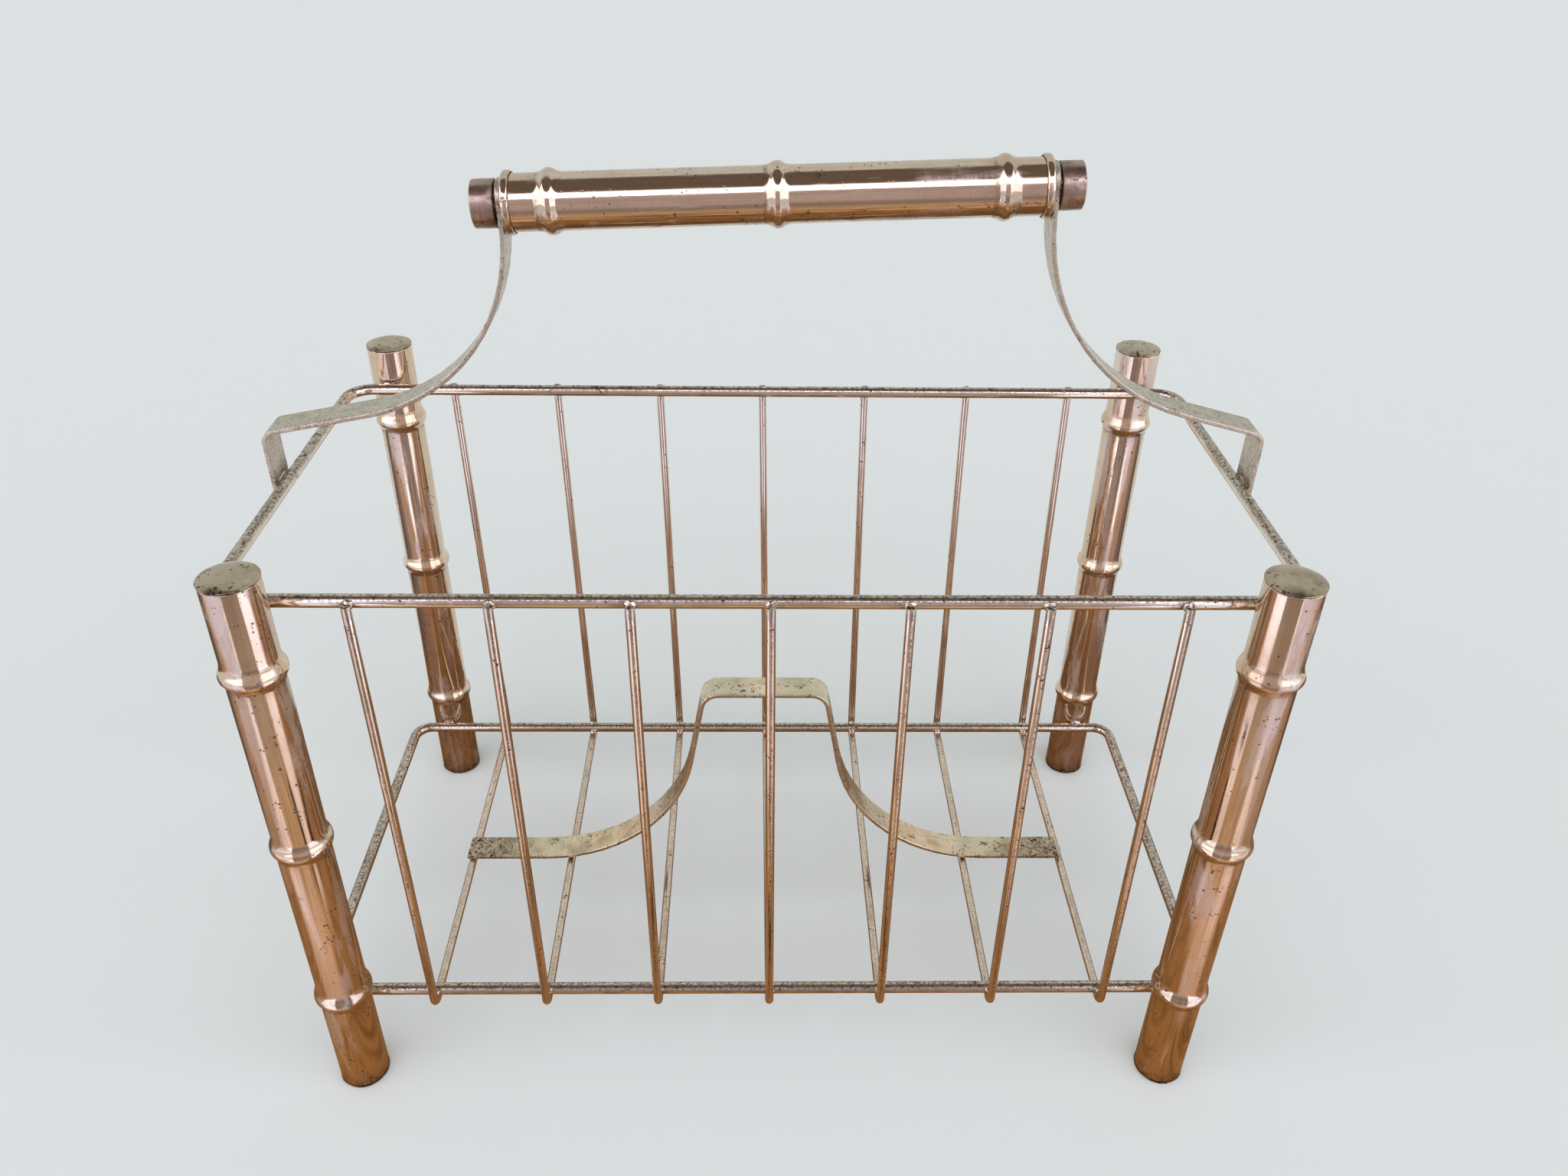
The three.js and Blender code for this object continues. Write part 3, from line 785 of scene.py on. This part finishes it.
# %% A helper that lays a turned piece along the grip
grip_across = grip_up.cross(grip_along)
grip_frame = Matrix((grip_across, grip_up, grip_along)).transposed()


def lay_on_grip(bm, distance, flip=False):
    if flip:
        bmesh.ops.rotate(bm, cent=(0, 0, 0), matrix=Matrix.Rotation(math.pi, 3, "X"), verts=bm.verts)
    bmesh.ops.translate(bm, vec=(0, 0, distance), verts=bm.verts)
    bmesh.ops.rotate(bm, cent=(0, 0, 0), matrix=grip_frame, verts=bm.verts)
    bmesh.ops.translate(bm, vec=grip_centre, verts=bm.verts)


# %% The grip's tube and rod
grip_length = grip_span - 2 * seat_gap
collar_wall = 0.9
grip_tube_length = grip_length - 2 * (collar_wall + seat_gap)
grip_peaks = [grip_tube_length * share for share in (0.08, 0.5, 0.92)]
grip_flank = 5.5
bm = bamboo_tube(grip_tube_length, grip_peaks, grip_flank, grip_flank)
lay_on_grip(bm, -grip_tube_length / 2)
finish_piece(bm, "bamboo_grip", grip_brass, ["grip_tube"], body="grip")

knob_seat = grip_span / 2 + strap_thickness + seat_gap
knob_bore = 7
rod_half = knob_seat + knob_bore - seat_gap
bm = turned([(0, -rod_half), (rod_radius, -rod_half), (rod_radius, rod_half), (0, rod_half)], sides=32)
lay_on_grip(bm, 0)
finish_piece(bm, "handle_rod", knob_brass, ["grip_rod"])

# %% Collars and knobs
collar_radius = tube_radius + seat_gap + collar_wall
collar_length, collar_round = 3.3, 1.2
knob_radius, knob_neck, neck_length, knob_length, knob_round = 9.2, 6.8, 0.6, 8.8, 0.4


def quarter(centre_radius, centre_height, radius, start, steps=5):
    """Points of a quarter round that begins at an angle from +radius, in degrees."""
    turns = [math.radians(start + 90 * step / steps) for step in range(steps + 1)]
    return [(centre_radius + radius * math.cos(t), centre_height + radius * math.sin(t)) for t in turns]


for side_name, side in (("left", -1), ("right", 1)):
    bore = tube_radius + seat_gap
    outline = [(hole_radius, 0), *quarter(collar_radius - collar_round, collar_round, collar_round, -90),
               *quarter(bore, collar_length - collar_wall, collar_wall, 0), (bore, collar_wall),
               (hole_radius, collar_wall)]
    bm = turned(outline, closed=True)
    # Grime and painted shade at the inner rim, where the tube goes in.
    soil_and_shade(bm, lambda at: 0.8 * fade(at.z - collar_length, 0.7) if at.xy.length < bore + 0.5 else 0)
    lay_on_grip(bm, side * grip_length / 2, flip=side > 0)
    finish_piece(bm, "cup_" + side_name, grip_brass, ["grip_collar_" + side_name], body="grip")

    top = neck_length + knob_length
    outline = [(0, knob_bore), (hole_radius, knob_bore), (hole_radius, 0), (knob_neck, 0),
               (knob_neck, neck_length - 0.2), (knob_neck + 0.2, neck_length),
               (knob_radius - 0.3, neck_length), (knob_radius, neck_length + 0.3),
               (knob_radius, top - knob_round - 0.2),
               *quarter(knob_radius - knob_round, top - knob_round, knob_round, 0), (5, top), (0, top)]
    bm = turned(outline)
    # Grime and painted shade at the neck, where the knob meets the strap.
    soil_and_shade(bm, lambda at: 0.8 * fade(at.z, 1.6))
    lay_on_grip(bm, side * knob_seat, flip=side < 0)
    finish_piece(bm, "knob_" + side_name, knob_brass, ["end_knob_" + side_name])

# %% [markdown]
# ## Brazing
# Where two pieces of stock touch, the brazing metal has run into a small fillet. Each is a flattened bead
# with an uneven skin, sunk into both pieces, so that no gap shows between them.

# %% Beads of brazing metal
beads = bmesh.new()
bead_lift = 0.15
outside_y = long_wire_y + frame_wire_radius + bead_lift
below_frame = lower_frame_height - frame_wire_radius - bead_lift


def bead(place, size):
    shape = Matrix.Translation(place) @ Matrix.Diagonal((*size, 1))
    made = bmesh.ops.create_icosphere(beads, subdivisions=3, radius=1, matrix=shape)
    for vert in made["verts"]:
        vert.co += (vert.co - place) * 0.22 * noise.noise(vert.co * 0.9)


for side, drifts in sides_of_rack:
    for crossing in crossings:
        for row, height in (("top", top_frame_height), ("base", lower_frame_height)):
            bead(Vector((crossing + drifts[row], side * outside_y, height)), (2.3, 1.3, 2.3))
        bead(Vector((crossing + drifts["base"], side * long_wire_y, below_frame)), (2.2, 2.2, 1.2))
    for x in (-leg_x, leg_x):
        for height in (top_frame_height, lower_frame_height):
            bead(Vector((x, side * outside_y, height)), (3.6, 1.3, 2.8))
for side in (-1, 1):
    bead(Vector((side * (frame_side_x + bead_lift), 0, top_frame_height)), (0.9, 7.4, 2.4))
for crossing in (crossings[0], crossings[-1]):
    bead(Vector((crossing + base_drift, divider_shift, base_top + bead_lift)), (1.9, 6.4, 0.7))
soil_and_shade(beads, lambda at: 0.45)
finish_piece(beads, "brazing_beads", wire_brass)

# %% [markdown]
# ## Floor and lamp
# The rack stands on a plain pale floor. One very soft lamp over the camera's left shoulder lights it, and
# the world fills in.

# %% The floor
floor_paint = bpy.data.materials.new("floor_paint")
floor_paint.use_nodes = True
paint = floor_paint.node_tree.nodes["Principled BSDF"]
paint.inputs["Base Color"].default_value = (0.70, 0.74, 0.705, 1)
paint.inputs["Roughness"].default_value = 1
paint.inputs["Specular IOR Level"].default_value = 0
bm = bmesh.new()
bmesh.ops.create_grid(bm, x_segments=1, y_segments=1, size=8)
bmesh.ops.translate(bm, vec=(0, 0, -0.0002), verts=bm.verts)
floor = put_in_scene(bm, "pale_floor", floor_paint)

# %% [markdown]
# ## What the metal mirrors
# Polished metal has no look of its own: it shows what stands round it. So the world is a plain studio,
# mixed by the direction of the ray: a pale backdrop behind, a dark top, a dim fill beside, and a low and
# a high softbox in front. Each soft step below is an edge between two of them. The camera sees pale
# paint.

# %% The world
world = bpy.data.worlds.new("studio")
bpy.context.scene.world = world
world.use_nodes = True
sky = world.node_tree
way = add(sky, "SeparateXYZ")
feed(sky, way.inputs[0], add(sky, "TexCoord").outputs["Generated"])
backdrop, dark_top, side_fill = (0.63, 0.67, 0.65), (0.16, 0.125, 0.105), (0.36, 0.33, 0.33)
high_softbox, low_softbox = (2.5, 2.5, 2.9), (1.8, 1.75, 2.0)
pale_paint = (0.705, 0.745, 0.755)
in_front = blend_colours(sky, soft_step(sky, way.outputs["Z"], 0.36, 0.5), low_softbox, high_softbox)
beside = soft_step(sky, way.outputs["Y"], -0.05, 0.05)
around = blend_colours(sky, beside, in_front, side_fill)
around = blend_colours(sky, soft_step(sky, way.outputs["Z"], 0.69, 0.76), around, dark_top)
behind = calculate(sky, "SUBTRACT", way.outputs["Y"], calculate(sky, "MULTIPLY", way.outputs["Z"], 0.32))
around = blend_colours(sky, soft_step(sky, behind, -0.04, 0.06), around, backdrop)
seen = blend_colours(sky, add(sky, "LightPath").outputs["Is Camera Ray"], around, pale_paint)
feed(sky, sky.nodes["Background"].inputs["Color"], seen)

# %% The lamp
sun = bpy.data.lights.new("soft_sun", "SUN")
sun.energy, sun.angle = 0.5, math.radians(80)
sun.color = (1, 0.97, 0.86)
soft_sun = bpy.data.objects.new("soft_sun", sun)
soft_sun.rotation_euler = (math.radians(28), 0, math.radians(-24))
soft_sun.visible_glossy = False
bpy.context.scene.collection.objects.link(soft_sun)

# %% [markdown]
# The softboxes alone would leave the tubes white. Two cards near the rack give them their stripes: a dim
# glowing flag in front with painted folds, darker towards its foot, and a warm board that lies on the
# floor, with a painted shadow under the rack and painted rays of highlight and shade. Only the metal's
# reflections see them.

# %% A helper that hangs or lays a card
def card(name, low, high):
    """A rectangle between two corners that only reflections see. Gives back its paper's nodes and the
    place on it."""
    low, high = Vector(low), Vector(high)
    bm = bmesh.new()
    bmesh.ops.create_grid(bm, x_segments=1, y_segments=1, size=0.5)
    if low.y == high.y:
        bmesh.ops.rotate(bm, cent=(0, 0, 0), matrix=Matrix.Rotation(math.pi / 2, 3, "X"), verts=bm.verts)
    bmesh.ops.scale(bm, vec=[side or 1 for side in high - low], verts=bm.verts)
    bmesh.ops.translate(bm, vec=(low + high) / 2, verts=bm.verts)
    paper = bpy.data.materials.new(name + "_paper")
    paper.use_nodes = True
    board = put_in_scene(bm, name, paper)
    board.visible_camera = board.visible_diffuse = board.visible_shadow = False
    board.visible_transmission = board.visible_volume_scatter = False
    tree = paper.node_tree
    tree.nodes.remove(tree.nodes["Principled BSDF"])
    where = add(tree, "SeparateXYZ")
    feed(tree, where.inputs[0], object_place(tree))
    return tree, where.outputs


def mix_shaders(tree, share, first, second):
    blend = add(tree, "MixShader")
    feed(tree, blend.inputs[0], share)
    tree.links.new(first.outputs[0], blend.inputs[1])
    tree.links.new(second.outputs[0], blend.inputs[2])
    tree.links.new(blend.outputs[0], tree.nodes["Material Output"].inputs["Surface"])


# %% The dim flag
tree, where = card("dim_flag", (-0.42, -0.68, 0.0), (0.42, -0.68, 0.72))
glow = add(tree, "Emission")
# The folds are painted shade on a flat card, and the cloth is darker towards its foot.
fold_shade = place_in_group(tree, lines, object_place(tree, (0, math.pi / 2, 0)), Scale=22, Stretch=0.08)
cloth = blend_colours(tree, soft_step(tree, where["Z"], 0.03, 0.26), (0.34, 0.27, 0.24), (0.54, 0.47, 0.48))
feed(tree, glow.inputs["Color"], tint(tree, cloth, fold_shade, 0.45, (0.26, 0.18, 0.16)))
off_centre = calculate(tree, "ABSOLUTE", where["X"], 0)
mix_shaders(tree, soft_step(tree, off_centre, 0.37, 0.33), add(tree, "BsdfTransparent"), glow)

# %% Painted rays on the warm board: highlights and shade that the front legs mirror as stripes
def ray(tree, where, start, degrees, spread, near_end, far_end):
    """A wedge on the board that starts at a front leg, at an angle from straight ahead. spread is half its
    width over its length, and the ends are the distances between which it comes up and goes out."""
    side, ahead = math.sin(math.radians(degrees)), -math.cos(math.radians(degrees))
    x = calculate(tree, "SUBTRACT", where["X"], start)
    y = calculate(tree, "ADD", where["Y"], leg_y * mm)
    along = total(tree, 0, (x, side), (y, ahead))
    off = calculate(tree, "ABSOLUTE", total(tree, 0, (x, ahead), (y, -side)), 0)
    narrow = soft_step(tree, calculate(tree, "DIVIDE", off, along), spread, spread * 0.53)
    reach = calculate(tree, "MULTIPLY", soft_step(tree, along, *near_end), soft_step(tree, along, *far_end))
    return calculate(tree, "MULTIPLY", narrow, reach)


def two_rays(tree, where, left_degrees, right_degrees, **shape):
    """The same ray in front of the left and of the right leg."""
    return calculate(tree, "MAXIMUM", ray(tree, where, -leg_x * mm, left_degrees, **shape),
                     ray(tree, where, leg_x * mm, right_degrees, **shape))


# %% The warm board: where its parts are
tree, where = card("warm_board", (-0.75, -0.95, 0.0004), (0.75, 0.19, 0.0004))
lengthways = object_place(tree, (math.pi / 2, 0, 0))
grain = place_in_group(tree, clouds, lengthways, Scale=22, Cover=0.5)
streaks = place_in_group(tree, lines, lengthways, Scale=100, Stretch=0.1)
off_centre = calculate(tree, "ABSOLUTE", where["X"], 0)
outside = soft_step(tree, off_centre, 0.31, 0.36)
# Near and under the rack the board is painted darker, as a shadow, and darker still at its back.
under = soft_step(tree, where["Y"], -0.22, -0.17)
far = soft_step(tree, where["Y"], -0.26, -0.42)
back_shade = soft_step(tree, where["Y"], -0.08, 0.02)
highlight_rays = two_rays(tree, where, -15, 12, spread=1.1, near_end=(0.04, 0.065), far_end=(0.17, 0.12))
shade_rays = two_rays(tree, where, 39, -70, spread=0.085, near_end=(0.12, 0.17), far_end=(0.27, 0.23))

# %% The warm board: its colours in front of the rack and outside
near = blend_colours(tree, grain, (0.80, 0.50, 0.20), (0.60, 0.36, 0.13))
distant = blend_colours(tree, grain, (0.70, 0.53, 0.31), (0.52, 0.37, 0.20))
front = blend_colours(tree, far, near, distant)
# Painted shadow: darker under the rack, and darker still at its back.
front = blend_colours(tree, under, front, (0.37, 0.20, 0.075))
front = tint(tree, front, back_shade, 0.5, (0.10, 0.05, 0.02))
front = tint(tree, front, streaks, 0.65, (0.10, 0.05, 0.02))
# Painted highlights and painted shade in rays, which the legs mirror as pale and dark stripes.
front = tint(tree, front, highlight_rays, 0.5, (0.88, 0.67, 0.56))
front = blend_colours(tree, shade_rays, front, (0.03, 0.015, 0.01))
beyond = blend_colours(tree, far, (0.44, 0.29, 0.18), (0.44, 0.33, 0.28))
# The same painted shadow at the back, beyond the sides.
beyond = blend_colours(tree, back_shade, beyond, (0.12, 0.08, 0.06))
beyond = tint(tree, beyond, streaks, 0.45, (0.14, 0.09, 0.06))
dull = add(tree, "BsdfDiffuse")
feed(tree, dull.inputs["Color"], blend_colours(tree, outside, front, beyond))

# %% The warm board: its gloss, which grows at a slant
gloss = add(tree, "BsdfGlossy")
gloss.inputs["Color"].default_value = (0.74, 0.80, 0.92, 1)
gloss.inputs["Roughness"].default_value = 0.08
gloss_share = calculate(tree, "MAXIMUM", total(tree, 6.2, (outside, -4.2), (under, -5.8)), 0.4)
gloss_share = total(tree, gloss_share, (shade_rays, -6))
slant = calculate(tree, "POWER", add(tree, "LayerWeight").outputs["Facing"], 3)
mix_shaders(tree, calculate(tree, "MULTIPLY", gloss_share, slant, clamp=True), dull, gloss)

# %% [markdown]
# ## The camera
# Its place, its three angles and its lens were fitted to the photograph by the rack's own corners.

# %% The camera, at the photograph's place
camera_place = Vector((-1.6, -470.8, 508.9)) * mm
pitch, yaw, roll = 0.5773, -0.0218, 0.0147
ahead = Vector((-math.sin(yaw) * math.cos(pitch), math.cos(yaw) * math.cos(pitch), -math.sin(pitch)))
level_right = Vector((math.cos(yaw), math.sin(yaw), 0))
level_up = level_right.cross(ahead)
right = math.cos(roll) * level_right + math.sin(roll) * level_up
over = -math.sin(roll) * level_right + math.cos(roll) * level_up
lens = bpy.data.cameras.new("view")
lens.sensor_width, lens.lens = 36, 27.81
camera = bpy.data.objects.new("view", lens)
camera.matrix_world = Matrix.Translation(camera_place) @ Matrix((right, over, -ahead)).transposed().to_4x4()
bpy.context.scene.collection.objects.link(camera)
bpy.context.scene.camera = camera
bpy.context.scene.view_settings.view_transform = "Standard"
